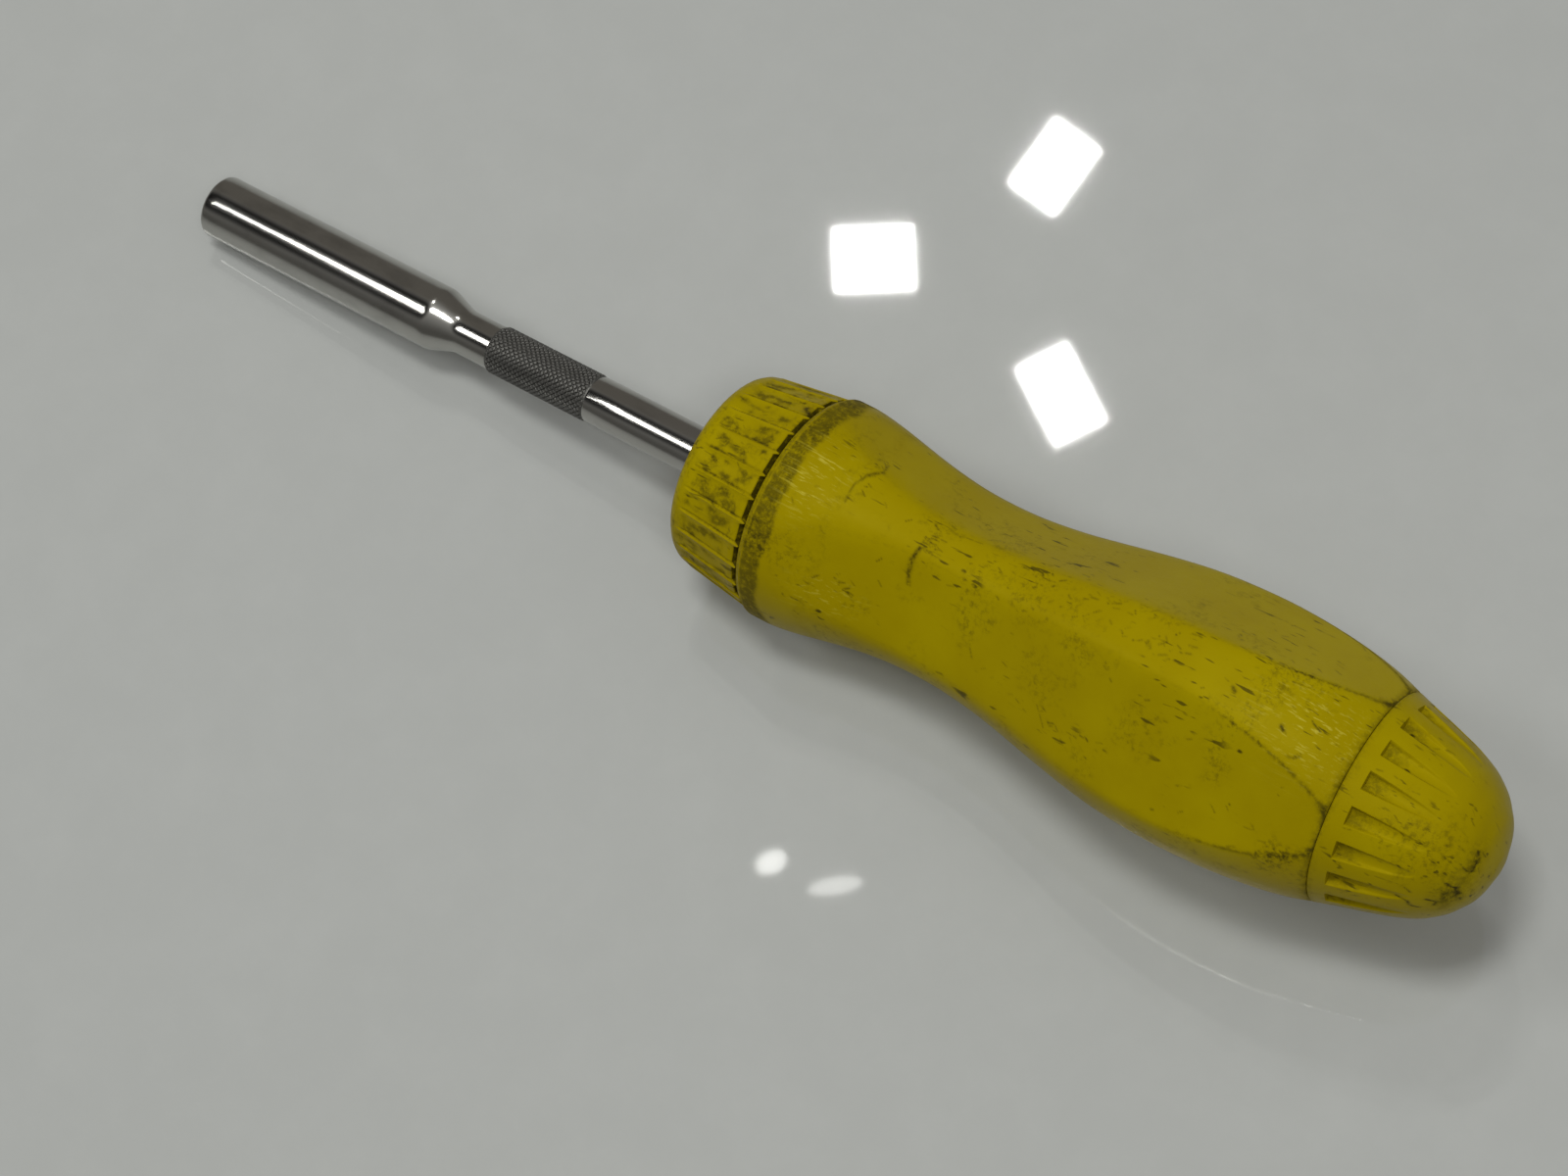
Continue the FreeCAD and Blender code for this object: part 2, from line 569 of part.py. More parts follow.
def block(name, spot, front, rear, width, height, turn):
    """Rectangular bar centred on the spot, turned about its own length."""
    bar = doc.addObject("Part::Box", name)
    bar.Length = rear - front
    bar.Width = width
    bar.Height = height
    middle = Placement(Vector(0, -width / 2.0, -height / 2.0), Rotation())
    spin = Placement(Vector(front, spot[0], spot[1]), Rotation(Vector(1, 0, 0), turn))
    bar.Placement = spin.multiply(middle)
    return bar


# cross tip: a cone with a four-way notch left between its wings
spot = POCKETS[0]
cross = fuse("cross_bit", [bit_blank("cross", spot, 2.9, 199.5),
                           cone("cross_tip", spot, 199.5, TIP_END, 2.9, 0.8)])
corner_cuts = []
for i in range(4):
    a = 45.0 + 90.0 * i
    dy, dz = polar(2.05, a)
    corner_cuts.append(block("cross_corner%d" % i, (spot[0] + dy, spot[1] + dz), 199.5, TIP_END + 1,
                             2.3, 2.3, 0.0))
finish(cut("cross_bit", cross, corner_cuts), "phillips_bit")

# flat blade
spot = POCKETS[1]
blade = fuse("blade_bit", [bit_blank("blade", spot, 2.9, 197.0),
                           block("blade_tip", spot, 196.0, TIP_END, 5.5, 1.0, 0.0)])
finish(blade, "slotted_bit")

# six-point star: a round core with six small round wings
spot = POCKETS[2]
star_core = cylinder("star_core", 1.75, 198.0, TIP_END, spot[0], spot[1])
star_parts = [bit_blank("star", spot, 2.9, 199.0), star_core]
for i in range(6):
    dy, dz = polar(1.75, 60.0 * i)
    star_parts.append(cylinder("star_wing%d" % i, 0.5, 198.0, TIP_END, spot[0] + dy, spot[1] + dz))
finish(fuse("star_bit", star_parts), "torx_bit")

# square tip
spot = POCKETS[3]
finish(fuse("square_tip_bit", [bit_blank("square", spot, 2.6, 199.0),
                               block("square_tip", spot, 198.0, TIP_END, 2.8, 2.8, 0.0)]), "square_bit")

# hexagon tip
spot = POCKETS[4]
finish(fuse("hex_tip_bit", [bit_blank("hexagon", spot, 2.7, 199.0),
                            prism("hexagon_tip", 6, 4.0, 198.0, TIP_END, spot[0], spot[1])]), "hex_bit")

doc.recompute()

# ---------------------------------------------------------------- checks and export
for item in doc.Objects:
    bad = [word for word in item.State if word in ("Invalid", "Error")]
    if bad:
        raise RuntimeError(item.Name + " failed: " + ", ".join(bad))
for piece in MADE:
    if not piece.Shape.isValid():
        raise RuntimeError(piece.Label + " is not valid")
    if not piece.Shape.Solids:
        raise RuntimeError(piece.Label + " has no solid")
    for solid in piece.Shape.Solids:
        if not solid.isClosed() or solid.Volume <= 0:
            raise RuntimeError(piece.Label + " is not closed")

os.makedirs("parts", exist_ok=True)
for piece in MADE:
    piece.Shape.exportStep("parts/%s.step" % piece.Label)
    box = piece.Shape.BoundBox
    print("%-20s solids %d  vol %9.2f  x %7.2f %7.2f  z %6.2f %6.2f" % (
        piece.Label, len(piece.Shape.Solids), piece.Shape.Volume, box.XMin, box.XMax, box.ZMin, box.ZMax))
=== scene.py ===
import bmesh
import bpy
import math
import numpy as np
from mathutils import Matrix, Vector


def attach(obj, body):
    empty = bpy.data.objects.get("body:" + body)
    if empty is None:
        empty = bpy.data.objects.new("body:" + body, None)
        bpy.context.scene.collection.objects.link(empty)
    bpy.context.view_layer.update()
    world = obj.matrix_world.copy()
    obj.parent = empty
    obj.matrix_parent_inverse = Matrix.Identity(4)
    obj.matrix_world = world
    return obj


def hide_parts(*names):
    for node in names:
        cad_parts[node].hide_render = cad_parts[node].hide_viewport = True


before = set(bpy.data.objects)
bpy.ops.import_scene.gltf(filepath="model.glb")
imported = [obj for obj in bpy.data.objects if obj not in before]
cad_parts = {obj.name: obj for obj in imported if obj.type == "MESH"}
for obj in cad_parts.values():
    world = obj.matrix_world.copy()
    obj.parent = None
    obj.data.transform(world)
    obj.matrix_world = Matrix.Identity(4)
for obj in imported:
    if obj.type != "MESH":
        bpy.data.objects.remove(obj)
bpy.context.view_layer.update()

# A worn ratcheting screwdriver, its steel shank towards -X and its yellow handle towards +X.
# The tool's axis lies along X.  Shapes are drawn in millimetres from the open end of the bit socket,
# angles in degrees from +Y towards +Z, then moved to the row frame in metres.
LENGTH = 222.0
AXIS_HEIGHT = 18.9
rng = np.random.default_rng(7)


# ------------------------------------------------------------------ helpers for shapes
def smooth(x, low, high):
    t = np.clip((x - low) / (high - low), 0.0, 1.0)
    return t * t * (3 - 2 * t)


def curve(x, knots):
    """Smooth line through (position, value) knots."""
    k = np.array(knots, float)
    kx = k[:, 0]
    ky = k[:, 1]
    slope = np.gradient(ky, kx)
    i = np.clip(np.searchsorted(kx, x) - 1, 0, len(kx) - 2)
    h = kx[i + 1] - kx[i]
    t = np.clip((x - kx[i]) / h, 0.0, 1.0)
    a = (1 + 2 * t) * (1 - t) ** 2
    b = t * (1 - t) ** 2
    c = t * t * (3 - 2 * t)
    d = t * t * (t - 1)
    return a * ky[i] + b * h * slope[i] + c * ky[i + 1] + d * h * slope[i + 1]


def skin(name, xs, radii, sharp=40.0, marks=None):
    """Closed skin round the axis from stations xs (m) and radii (m, n); rows of radius 0 are poles."""
    xs = np.asarray(xs, float)
    radii = np.asarray(radii, float)
    rows, n = radii.shape
    angle = np.arange(n) * 2 * math.pi / n
    px = xs if xs.ndim == 2 else np.repeat(xs[:, None], n, axis=1)
    points = np.stack([px - LENGTH / 2, radii * np.cos(angle), AXIS_HEIGHT + radii * np.sin(angle)], -1)
    points = points.reshape(-1, 3) / 1000.0
    r = np.arange(rows - 1)[:, None] * n
    c = np.arange(n)[None, :]
    d = (c + 1) % n
    quads = np.stack([r + c, r + n + c, r + n + d, r + d], -1).reshape(-1, 4)
    pole_rows = [i for i in (0, rows - 1) if radii[i].max() < 1e-6]
    keep = np.ones(len(quads), bool)
    tris = []
    for i in pole_rows:
        band = 0 if i == 0 else rows - 2
        keep[band * n:(band + 1) * n] = False
        ring = n if i == 0 else (rows - 2) * n
        tip = i * n
        for j in range(n):
            k = (j + 1) % n
            tris.append((tip, ring + j, ring + k) if i == 0 else (ring + j, tip, ring + k))
    faces = [tuple(q) for q in quads[keep].tolist()] + tris
    mesh = bpy.data.meshes.new(name)
    mesh.from_pydata(points.tolist(), [], faces)
    if marks:
        for key, values in marks.items():
            data = mesh.attributes.new(key, "FLOAT", "POINT")
            data.data.foreach_set("value", np.asarray(values, np.float32).reshape(-1))
    obj = bpy.data.objects.new(name, mesh)
    bpy.context.scene.collection.objects.link(obj)
    tidy(obj, sharp)
    return obj


def tidy(obj, sharp=40.0):
    """Drop unused points, face outwards, shade smooth with sharp corners kept."""
    bm = bmesh.new()
    bm.from_mesh(obj.data)
    loose = [v for v in bm.verts if not v.link_faces]
    bmesh.ops.delete(bm, geom=loose, context="VERTS")
    if bm.calc_volume(signed=True) < 0:
        bmesh.ops.reverse_faces(bm, faces=bm.faces)
    bm.to_mesh(obj.data)
    bm.free()
    obj.data.shade_smooth()
    obj.data.set_sharp_from_angle(angle=math.radians(sharp))


def ring_rows(profile, n):
    xs = np.array([p[0] for p in profile])
    rs = np.repeat(np.array([p[1] for p in profile], float)[:, None], n, axis=1)
    return xs, rs


# ------------------------------------------------------------------ helpers for materials
def material(name):
    mat = bpy.data.materials.new(name)
    mat.use_nodes = True
    tree = mat.node_tree
    return mat, tree, tree.nodes["Principled BSDF"]


def link(tree, a, b):
    tree.links.new(a, b)


def object_coords(tree, scale=(1, 1, 1)):
    coord = tree.nodes.new("ShaderNodeTexCoord")
    mapping = tree.nodes.new("ShaderNodeMapping")
    mapping.inputs["Scale"].default_value = scale
    link(tree, coord.outputs["Object"], mapping.inputs["Vector"])
    return mapping.outputs["Vector"]


def noise(tree, vector, scale, detail=4.0, rough=0.6):
    tex = tree.nodes.new("ShaderNodeTexNoise")
    tex.inputs["Scale"].default_value = scale
    tex.inputs["Detail"].default_value = detail
    tex.inputs["Roughness"].default_value = rough
    link(tree, vector, tex.inputs["Vector"])
    return tex.outputs["Fac"]


def ramp(tree, value, low, high, flip=False):
    """Soft threshold from low to high."""
    made = tree.nodes.new("ShaderNodeMapRange")
    made.interpolation_type = "SMOOTHSTEP"
    made.inputs["From Min"].default_value = low
    made.inputs["From Max"].default_value = high
    made.inputs["To Min"].default_value = 1.0 if flip else 0.0
    made.inputs["To Max"].default_value = 0.0 if flip else 1.0
    link(tree, value, made.inputs["Value"])
    return made.outputs["Result"]


def maths(tree, operation, a, b):
    made = tree.nodes.new("ShaderNodeMath")
    made.operation = operation
    made.use_clamp = operation in ("ADD", "MULTIPLY")
    for i, term in enumerate((a, b)):
        if isinstance(term, (int, float)):
            made.inputs[i].default_value = term
        else:
            link(tree, term, made.inputs[i])
    return made.outputs["Value"]


def mix(tree, factor, a, b):
    made = tree.nodes.new("ShaderNodeMix")
    made.data_type = "RGBA"
    link(tree, factor, made.inputs["Factor"])
    for key, term in (("A", a), ("B", b)):
        socket = [s for s in made.inputs if s.name == key and s.type == "RGBA"][0]
        if isinstance(term, tuple):
            socket.default_value = (*term, 1.0)
        else:
            link(tree, term, socket)
    return [s for s in made.outputs if s.type == "RGBA"][0]


def attribute(tree, name):
    made = tree.nodes.new("ShaderNodeAttribute")
    made.attribute_name = name
    return made.outputs["Fac"]


def bump(tree, height, strength, distance, shader):
    made = tree.nodes.new("ShaderNodeBump")
    made.inputs["Strength"].default_value = strength
    made.inputs["Distance"].default_value = distance
    link(tree, height, made.inputs["Height"])
    link(tree, made.outputs["Normal"], shader.inputs["Normal"])


YELLOW = (0.345, 0.262, 0.0004)
YELLOW_PALE = (0.385, 0.300, 0.0006)
# dark brown for dirt and fine scratches, also used as painted shade in the gap behind the collar
GRIME_AND_SHADE = (0.075, 0.058, 0.004)
NEARLY_BLACK = (0.022, 0.016, 0.004)
PALE_SCRATCH_AND_SHEEN = (0.60, 0.52, 0.06)


def yellow_plastic(name, speckle=1.0):
    """Moulded yellow plastic, semi-gloss, with grime, specks, short scratches and painted shade and sheen.
    Point value "grime_and_shade" raises the dirt and, in the gap behind the collar, paints its shade;
    "wear_and_sheen" makes pale lengthwise scratches that also serve as painted sheen; "mark" near-black cuts."""
    mat, tree, shader = material(name)
    here = object_coords(tree)
    grime_and_shade = attribute(tree, "grime_and_shade")
    wear_and_sheen = attribute(tree, "wear_and_sheen")
    mark = attribute(tree, "mark")
    tint = mix(tree, ramp(tree, noise(tree, here, 60, 5), 0.35, 0.7), YELLOW, YELLOW_PALE)
    # thin smudges all over, in patches, and heavy dirt where the grime_and_shade value is high; in the gap
    # behind the collar this same dark colour is painted shade
    cloud = noise(tree, here, 1100, 6, 0.75)
    patches = ramp(tree, noise(tree, here, 110, 4, 0.6), 0.50, 0.64)
    film = maths(tree, "MULTIPLY", ramp(tree, cloud, 0.46, 0.66), patches)
    film = maths(tree, "MULTIPLY", film, 0.50 * speckle)
    shifted = maths(tree, "ADD", cloud, maths(tree, "MULTIPLY", grime_and_shade, 0.20))
    heavy_dirt_and_shade = maths(tree, "MULTIPLY", grime_and_shade, ramp(tree, shifted, 0.42, 0.74))
    colour = mix(tree, maths(tree, "ADD", film, heavy_dirt_and_shade), tint, GRIME_AND_SHADE)
    # hair-fine dark scratches in two slants, broken up by the patches
    for slant, scale, seed_shift in ((0.35, 1500, 0.0), (-0.55, 1300, 3.1)):
        turned_coords = tree.nodes.new("ShaderNodeMapping")
        turned_coords.inputs["Rotation"].default_value = (0.0, 0.0, slant)
        turned_coords.inputs["Location"].default_value = (seed_shift, seed_shift, 0.0)
        turned_coords.inputs["Scale"].default_value = (0.16, 1.0, 0.6)
        link(tree, here, turned_coords.inputs["Vector"])
        hair = ramp(tree, noise(tree, turned_coords.outputs["Vector"], scale, 2, 0.5), 0.645, 0.71)
        hair = maths(tree, "MULTIPLY", hair, ramp(tree, noise(tree, here, 90, 3), 0.48, 0.60))
        colour = mix(tree, maths(tree, "MULTIPLY", hair, 0.85 * speckle), colour, GRIME_AND_SHADE)
    # small dark specks and nicks
    spots = tree.nodes.new("ShaderNodeTexVoronoi")
    spots.inputs["Scale"].default_value = 520
    link(tree, object_coords(tree, (0.55, 1, 1)), spots.inputs["Vector"])
    dot = maths(tree, "MULTIPLY", ramp(tree, spots.outputs["Distance"], 0.08, 0.20, True),
                ramp(tree, noise(tree, here, 170, 3), 0.61, 0.68))
    colour = mix(tree, maths(tree, "MULTIPLY", dot, 0.85 * speckle), colour, NEARLY_BLACK)
    # fine pale scratches along the tool; on the top of the upper lobe they also serve as painted sheen
    streak = ramp(tree, noise(tree, object_coords(tree, (0.03, 1, 1)), 2600, 3), 0.54, 0.66)
    colour = mix(tree, maths(tree, "MULTIPLY", streak, wear_and_sheen), colour, PALE_SCRATCH_AND_SHEEN)
    ragged = maths(tree, "MULTIPLY", mark, ramp(tree, cloud, 0.30, 0.55))
    colour = mix(tree, ragged, colour, NEARLY_BLACK)
    link(tree, colour, shader.inputs["Base Color"])
    gloss = maths(tree, "ADD", maths(tree, "MULTIPLY", cloud, 0.22), 0.27)
    gloss = maths(tree, "ADD", gloss, maths(tree, "MULTIPLY", grime_and_shade, 0.3))
    link(tree, gloss, shader.inputs["Roughness"])
    shader.inputs["IOR"].default_value = 1.20
    shader.inputs["Specular IOR Level"].default_value = 0.38
    shader.inputs["Specular Tint"].default_value = (1.0, 0.86, 0.14, 1.0)
    relief = maths(tree, "ADD", maths(tree, "MULTIPLY", cloud, 0.5),
                   maths(tree, "MULTIPLY", maths(tree, "MULTIPLY", streak, wear_and_sheen), 0.5))
    relief = maths(tree, "SUBTRACT", relief, maths(tree, "MULTIPLY", ragged, 0.8))
    bump(tree, relief, 0.40, 0.00010, shader)
    return mat


def steel(name, tone, rough, lines=0.0, grain=0.3, stretch=0.0):
    """Metal with fine turning lines round the axis, which draw its reflections out along the tool."""
    mat, tree, shader = material(name)
    shader.inputs["Metallic"].default_value = 1.0
    rings = noise(tree, object_coords(tree, (1, 0.04, 0.04)), 5200, 2)
    rub = noise(tree, object_coords(tree, (0.04, 1, 1)), 1700, 4)
    dull = noise(tree, object_coords(tree, (0.5, 1, 1)), 260, 5)
    dark = tuple(0.80 * c for c in tone)
    colour = mix(tree, ramp(tree, dull, 0.45, 0.75), tone, dark)
    link(tree, colour, shader.inputs["Base Color"])
    value = maths(tree, "ADD", maths(tree, "MULTIPLY", rub, grain * 0.3), rough)
    link(tree, value, shader.inputs["Roughness"])
    if stretch:
        tangent = tree.nodes.new("ShaderNodeTangent")
        tangent.direction_type = "RADIAL"
        tangent.axis = "X"
        shader.inputs["Anisotropic"].default_value = stretch
        link(tree, tangent.outputs["Tangent"], shader.inputs["Tangent"])
    bump(tree, maths(tree, "ADD", maths(tree, "MULTIPLY", rings, lines), maths(tree, "MULTIPLY", rub, grain)),
         0.10, 0.00002, shader)
    return mat


def plain(name, colour, rough, metallic=0.0):
    mat, tree, shader = material(name)
    shader.inputs["Base Color"].default_value = (*colour, 1.0)
    shader.inputs["Roughness"].default_value = rough
    shader.inputs["Metallic"].default_value = metallic
    return mat


# ------------------------------------------------------------------ handle
GRIP = [(111.2, 17.1), (114.5, 17.05), (118.0, 16.6), (122.0, 15.85), (126.0, 15.1), (130.0, 14.5),
        (134.0, 14.12), (138.0, 14.0), (142.0, 14.1), (146.0, 14.45), (150.0, 15.0), (155.0, 15.95),
        (160.0, 16.95), (165.0, 17.85), (170.0, 18.5), (175.0, 18.82), (180.0, 18.9), (185.0, 18.65),
        (190.0, 18.15), (195.0, 17.4), (199.0, 16.5), (201.8, 15.6)]
FACET = [(110.0, 19.0), (114.6, 17.3), (117.0, 16.35), (120.0, 15.2), (124.0, 14.0), (130.0, 12.6),
         (136.0, 11.9), (142.0, 11.9), (150.0, 12.7), (160.0, 14.35), (170.0, 15.65), (180.0, 16.08),
         (187.0, 16.15), (193.0, 16.1), (198.0, 15.85), (202.6, 15.2)]
THREAD_START = 194.5
THREAD_LEAD = 3.0
THREAD_BORE = 12.28
THREAD_CUT_FROM = 194.2
SEAL_SEAT_FRONT = 198.9
SEAL_SEAT_RADIUS = 13.7
STORE_RADIUS = 11.0
MM_PER_DEGREE = 0.29        # round the handle near its lobes


def thread_height(x, degrees, crest, flank):
    """1 on the thread's crest, 0 beside it; x and degrees in the handle's own thread phase."""
    turn = (x - THREAD_START) / THREAD_LEAD - (degrees + 45.0) / 360.0
    away = np.abs(turn - np.round(turn)) * THREAD_LEAD
    return 1.0 - np.clip((away - crest) / flank, 0.0, 1.0)


# cuts of use on the handle: (x, degrees) to (x, degrees), width in mm, strength; the first rows are
# the curved scuff over the upper lobe, then a fainter one nearer the flange, then single nicks
HANDLE_CUTS = [(135.0, 121, 134.5, 114, 0.30, 0.9), (134.5, 114, 134.4, 106, 0.36, 1.0),
               (134.4, 106, 134.8, 98, 0.30, 1.0), (123.6, 62, 124.2, 70, 0.20, 0.6),
               (124.2, 70, 122.9, 77, 0.28, 0.7), (122.9, 77, 122.2, 86, 0.20, 0.6),
               (122.2, 86, 122.4, 96, 0.16, 0.5),
               (192.0, 97.5, 192.4, 98.5, 0.28, 1.0), (195.2, 89.5, 196.6, 91.5, 0.14, 0.8),
               (184.0, 93, 184.5, 94, 0.24, 0.8), (171.0, 92, 171.5, 94, 0.26, 0.8),
               (127.0, 143, 127.3, 144, 0.20, 0.7), (139.5, 80, 142.0, 79, 0.10, 0.5),
               (146.5, 140, 147.3, 146, 0.12, 0.5), (159.0, 147, 161.0, 156, 0.10, 0.5),
               (190.0, 78, 193.0, 76, 0.10, 0.5), (188.0, 72, 190.0, 76, 0.08, 0.4)]


def around(a, middle, spread):
    """Bell round one angle, in degrees."""
    return np.exp(-(((a - middle + 180) % 360 - 180) / spread) ** 2)


def stroke(x, a, x0, a0, x1, a1, width):
    """Soft short line between two (mm, degree) points, width in mm."""
    px = x - x0
    pa = ((a - a0 + 180) % 360 - 180) * MM_PER_DEGREE
    dx = x1 - x0
    da = (a1 - a0) * MM_PER_DEGREE
    t = np.clip((px * dx + pa * da) / (dx * dx + da * da), 0, 1)
    d = np.hypot(px - t * dx, pa - t * da)
    return np.exp(-(d / width) ** 2)


def scattered_cuts(x, a, count, reach, sector=(0, 360)):
    """Short random cuts between two stations and two angles."""
    mark = np.zeros(np.broadcast(x, a).shape)
    for _ in range(count):
        x0 = rng.uniform(*reach)
        a0 = rng.uniform(*sector)
        size_mm = rng.uniform(0.2, 1.3)
        lean = rng.uniform(-1, 1)
        tip_x = x0 + size_mm * (1 - 0.5 * abs(lean))
        tip_a = a0 + lean * size_mm * 2.6
        near = np.abs(x[:, 0] - x0) < 4.0
        cut = rng.uniform(0.2, 0.8) * stroke(x[near], a, x0, a0, tip_x, tip_a, rng.uniform(0.06, 0.14))
        mark[near] = np.maximum(mark[near], cut)
    return mark


# gouged patches: (x, degrees, reach in mm, reach in degrees, number of cuts)
HANDLE_GOUGES = [(135.8, 93, 1.3, 6, 34), (123.0, 74, 1.2, 12, 16), (197.0, 156, 3.0, 8, 40),
                 (126.0, 140, 1.5, 8, 14), (168.0, 88, 9.0, 9, 40), (150.0, 87, 8.0, 8, 34),
                 (186.0, 60, 7.0, 14, 26), (160.0, 152, 12.0, 6, 24)]


def handle():
    n = 720
    degrees = np.arange(n) * 360.0 / n
    outer = np.concatenate([[111.25, 111.45], np.arange(111.8, 201.3, 0.26), [201.55, 201.75]])
    base = curve(outer, GRIP)
    base[0] -= 0.22
    base[-1] -= 0.15
    flat = curve(outer, FACET)
    from_facet = degrees % 90.0 - 45.0
    across = flat[:, None] / np.cos(np.radians(from_facet))[None, :]
    soften = (0.42 - 0.30 * smooth(outer, 155, 192))[:, None]
    round_r = np.repeat(base[:, None], n, axis=1)
    lobed = -soften * np.log(np.exp(-(round_r - 17) / soften) + np.exp(-(across - 17) / soften)) + 17
    edge = np.exp(-((round_r - across) / 0.16) ** 2)
    start = [(140.0, 0.0), (140.0, 6.5), (134.0, 6.5), (134.0, 10.5), (111.2, 10.5), (111.2, 15.4),
             (110.66, 15.45), (110.66, 16.5), (111.0, 16.7), (111.2, base[0] - 0.05)]
    bore_x = np.arange(SEAL_SEAT_FRONT - 0.1, 191.3, -0.15)
    end = [(201.8, base[-1] - 0.1), (201.8, SEAL_SEAT_RADIUS), (SEAL_SEAT_FRONT, SEAL_SEAT_RADIUS),
           (SEAL_SEAT_FRONT, 12.3)]
    last = [(191.0, THREAD_BORE), (191.0, STORE_RADIUS), (177.0, STORE_RADIUS), (177.0, 0.0)]
    xs1, r1 = ring_rows(start, n)
    xs2, r2 = ring_rows(end, n)
    xs3, r3 = ring_rows(last, n)
    groove = thread_height(bore_x[:, None], degrees[None, :], 0.50, 0.42)
    groove = groove * (bore_x[:, None] > THREAD_CUT_FROM)
    bore_r = THREAD_BORE + 0.68 * groove
    xs = np.concatenate([xs1, outer, xs2, bore_x, xs3])
    rr = np.concatenate([r1, lobed, r2, bore_r, r3])
    # dirt: flange band, facet edges towards the cap, seam, and the marks of use on the upper lobe, whose pale
    # scratches also stand in as painted sheen
    x2 = outer[:, None]
    a2 = degrees[None, :]
    wander = 0.5 * np.sin(np.radians(a2) * 5) + 0.4 * np.sin(np.radians(a2) * 13 + 1.0)
    grime_and_shade = 0.80 * (1 - smooth(x2 + wander * 0.5, 114.2, 115.3)) * smooth(x2, 111.3, 111.7)
    grime_and_shade = grime_and_shade + 0.25 * (1 - smooth(x2, 111.2, 111.6))
    near_cap = smooth(x2, 178, 192)
    grime_and_shade = grime_and_shade + edge * (0.70 * near_cap + 0.16 * (1 - near_cap))
    grime_and_shade = grime_and_shade + 0.50 * smooth(x2, 200.3, 201.7)
    grime_and_shade = grime_and_shade + 0.22 * np.exp(-((x2 - 121.5 + wander) / 0.9) ** 2)
    # pale scratches along the top of the upper lobe: partly wear, partly painted sheen where the overhead
    # light falls
    upper = around(a2, 92, 17)
    wear_and_sheen = upper * (0.85 * np.exp(-((x2 - 117.0) / 3.6) ** 2) + 0.70 * np.exp(-((x2 - 195.0) / 6.5) ** 2))
    wear_and_sheen = wear_and_sheen + 0.35 * around(a2, 150, 12) * np.exp(-((x2 - 124) / 5.0) ** 2)
    mark = np.zeros_like(grime_and_shade)
    for x0, a0, x1, a1, width, strength in HANDLE_CUTS:
        mark = np.maximum(mark, strength * stroke(x2, a2, x0, a0, x1, a1, width))
    for middle, angle, reach, spread, count in HANDLE_GOUGES:
        stations = (middle - reach, middle + reach)
        cuts = scattered_cuts(x2, a2, count, stations, (angle - spread, angle + spread))
        mark = np.maximum(mark, cuts)
    mark = np.maximum(mark, scattered_cuts(x2, a2, 320, (114, 200)))
    # the front face sits in the gap behind the collar and gets a middle dark value: painted shade of the gap
    front_face = np.full((len(start), n), 0.45)
    inside = np.zeros((len(end) + len(bore_x) + len(last), n))
    inside[0] = 0.7
    grime_and_shade = np.concatenate([front_face, np.clip(grime_and_shade, 0, 1), inside])
    blank_front = np.zeros((len(start), n))
    blank_back = np.zeros((len(inside), n))
    wear_and_sheen = np.concatenate([blank_front, wear_and_sheen, blank_back])
    mark = np.concatenate([blank_front, mark, blank_back])
    return skin("handle_skin", xs, rr, 38.0, {"grime_and_shade": grime_and_shade, "wear_and_sheen": np.clip(wear_and_sheen, 0, 1), "mark": mark})


# ------------------------------------------------------------------ end cap
CAP = [(201.9, 15.58), (205.0, 14.66), (209.0, 13.5), (213.0, 12.15), (216.5, 10.35), (219.3, 7.7),
       (221.1, 4.6), (221.85, 1.9)]
CAP_FLUTES = 18

# cuts on the cap: cracks at the ends of two flutes, then the scraped dome; same form as HANDLE_CUTS
CAP_CUTS = [(213.0, 160, 214.4, 163, 0.20, 1.0), (214.4, 163, 214.9, 168, 0.24, 1.0),
            (214.9, 168, 216.0, 170, 0.20, 0.9), (213.9, 151, 214.6, 154, 0.16, 0.9),
            (216.5, 160, 217.6, 163, 0.22, 1.0), (217.6, 163, 217.4, 168, 0.16, 0.8),
            (218.0, 142, 219.2, 148, 0.24, 1.0), (219.2, 148, 219.4, 158, 0.22, 0.9),
            (219.8, 104, 220.2, 116, 0.26, 0.9), (220.2, 116, 220.1, 128, 0.22, 0.9),
            (218.8, 122, 219.6, 128, 0.16, 0.8), (211.0, 117, 211.5, 118, 0.14, 0.7),
            (212.2, 136, 212.5, 137, 0.18, 1.0), (210.0, 148, 213.0, 149, 0.08, 0.5)]


